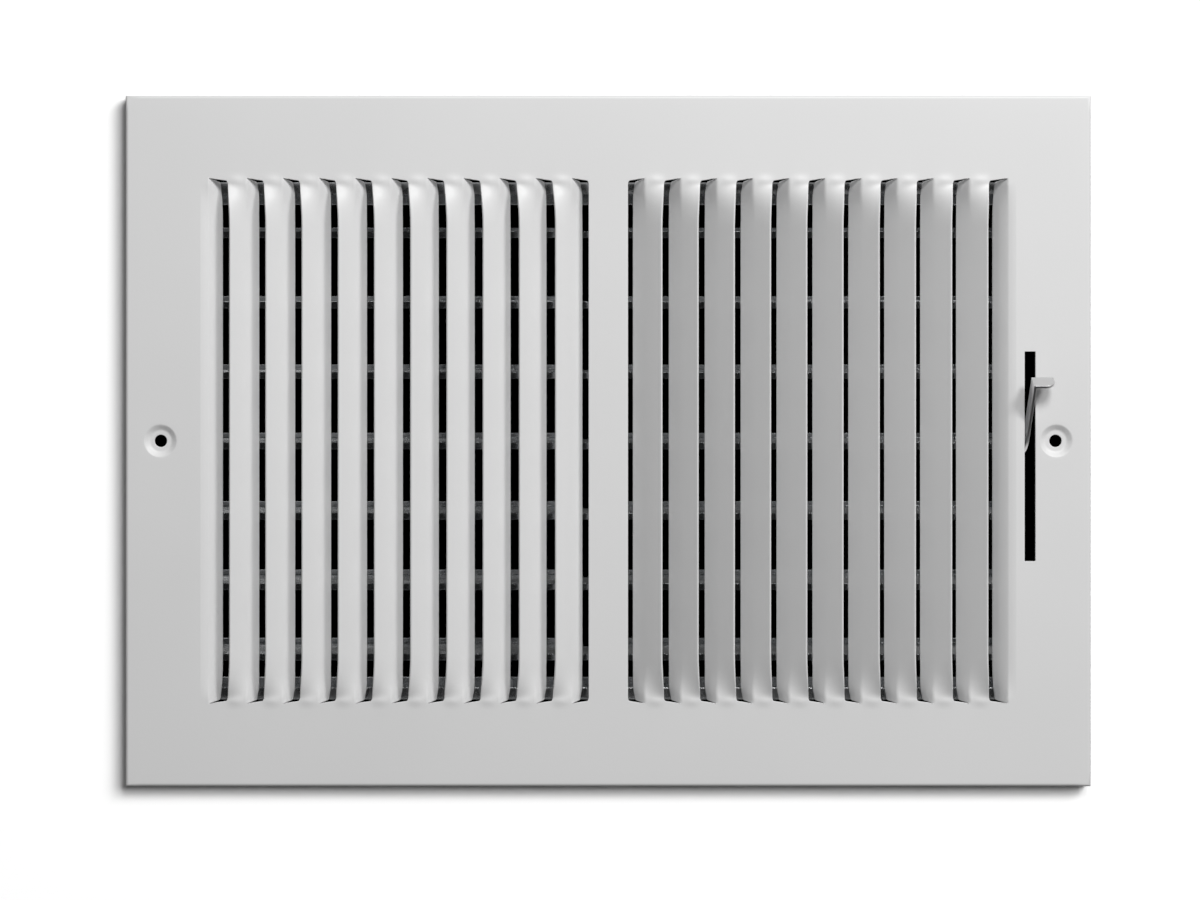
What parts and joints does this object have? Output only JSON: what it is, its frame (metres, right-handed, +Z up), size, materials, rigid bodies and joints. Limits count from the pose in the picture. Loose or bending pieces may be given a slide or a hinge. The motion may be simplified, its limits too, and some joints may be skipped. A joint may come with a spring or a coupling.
{
  "type": "sidewall register",
  "caption": "Stamped steel wall register with banks of vertical louvres that turn the air sideways, and a lever-worked multi-shutter damper behind the face.",
  "frame": {"origin": "middle of the face's outline, on the wall plane where the rim ends", "axes": "+X to the right as seen from the room, +Y into the wall, +Z up"},
  "size_m": [0.3492, 0.0479, 0.25],
  "materials": {
    "white_paint": "satin white enamel",
    "galvanised_steel": "galvanised sheet with a faint spangle",
    "zinc_plate": "bright zinc plate"
  },
  "bodies": {
    "housing": {"face_plate": "white_paint", "frame_top_rail": "galvanised_steel", "frame_bottom_rail": "galvanised_steel", "frame_left_end": "galvanised_steel", "frame_right_end": "galvanised_steel"},
    "lever_blade": {"damper_blade_4": "galvanised_steel", "tie_stud_4": "zinc_plate", "lever": "zinc_plate", "lever_spacer": "zinc_plate"},
    "blade_1": {"damper_blade_1": "galvanised_steel", "tie_stud_1": "zinc_plate"},
    "blade_2": {"damper_blade_2": "galvanised_steel", "tie_stud_2": "zinc_plate"},
    "blade_3": {"damper_blade_3": "galvanised_steel", "tie_stud_3": "zinc_plate"},
    "blade_5": {"damper_blade_5": "galvanised_steel", "tie_stud_5": "zinc_plate"},
    "blade_6": {"damper_blade_6": "galvanised_steel", "tie_stud_6": "zinc_plate"},
    "blade_7": {"damper_blade_7": "galvanised_steel", "tie_stud_7": "zinc_plate"},
    "tie_bar": {"tie_bar": "galvanised_steel"}
  },
  "joints": [
    {"name": "lever_turn", "type": "hinge", "parent": "housing", "child": "lever_blade", "pos_m": [0, 0.0141, 0], "axis": [1, 0, 0], "range_deg": [-7, 75.5]},
    {"name": "blade_1_turn", "type": "hinge", "parent": "housing", "child": "blade_1", "pos_m": [0, 0.0141, 0.07692], "axis": [1, 0, 0], "range_deg": [-7, 75.5]},
    {"name": "blade_2_turn", "type": "hinge", "parent": "housing", "child": "blade_2", "pos_m": [0, 0.0141, 0.05128], "axis": [1, 0, 0], "range_deg": [-7, 75.5]},
    {"name": "blade_3_turn", "type": "hinge", "parent": "housing", "child": "blade_3", "pos_m": [0, 0.0141, 0.02564], "axis": [1, 0, 0], "range_deg": [-7, 75.5]},
    {"name": "blade_5_turn", "type": "hinge", "parent": "housing", "child": "blade_5", "pos_m": [0, 0.0141, -0.02564], "axis": [1, 0, 0], "range_deg": [-7, 75.5]},
    {"name": "blade_6_turn", "type": "hinge", "parent": "housing", "child": "blade_6", "pos_m": [0, 0.0141, -0.05128], "axis": [1, 0, 0], "range_deg": [-7, 75.5]},
    {"name": "blade_7_turn", "type": "hinge", "parent": "housing", "child": "blade_7", "pos_m": [0, 0.0141, -0.07692], "axis": [1, 0, 0], "range_deg": [-7, 75.5]},
    {"name": "tie_bar_turn", "type": "hinge", "parent": "lever_blade", "child": "tie_bar", "pos_m": [0, 0.02343, -0.00436], "axis": [1, 0, 0], "range_deg": [-75.5, 7]}
  ],
  "couplings": [
    {"joint": "blade_1_turn", "follows": "lever_turn", "ratio": 1},
    {"joint": "blade_2_turn", "follows": "lever_turn", "ratio": 1},
    {"joint": "blade_3_turn", "follows": "lever_turn", "ratio": 1},
    {"joint": "blade_5_turn", "follows": "lever_turn", "ratio": 1},
    {"joint": "blade_6_turn", "follows": "lever_turn", "ratio": 1},
    {"joint": "blade_7_turn", "follows": "lever_turn", "ratio": 1},
    {"joint": "tie_bar_turn", "follows": "lever_turn", "ratio": -1}
  ]
}
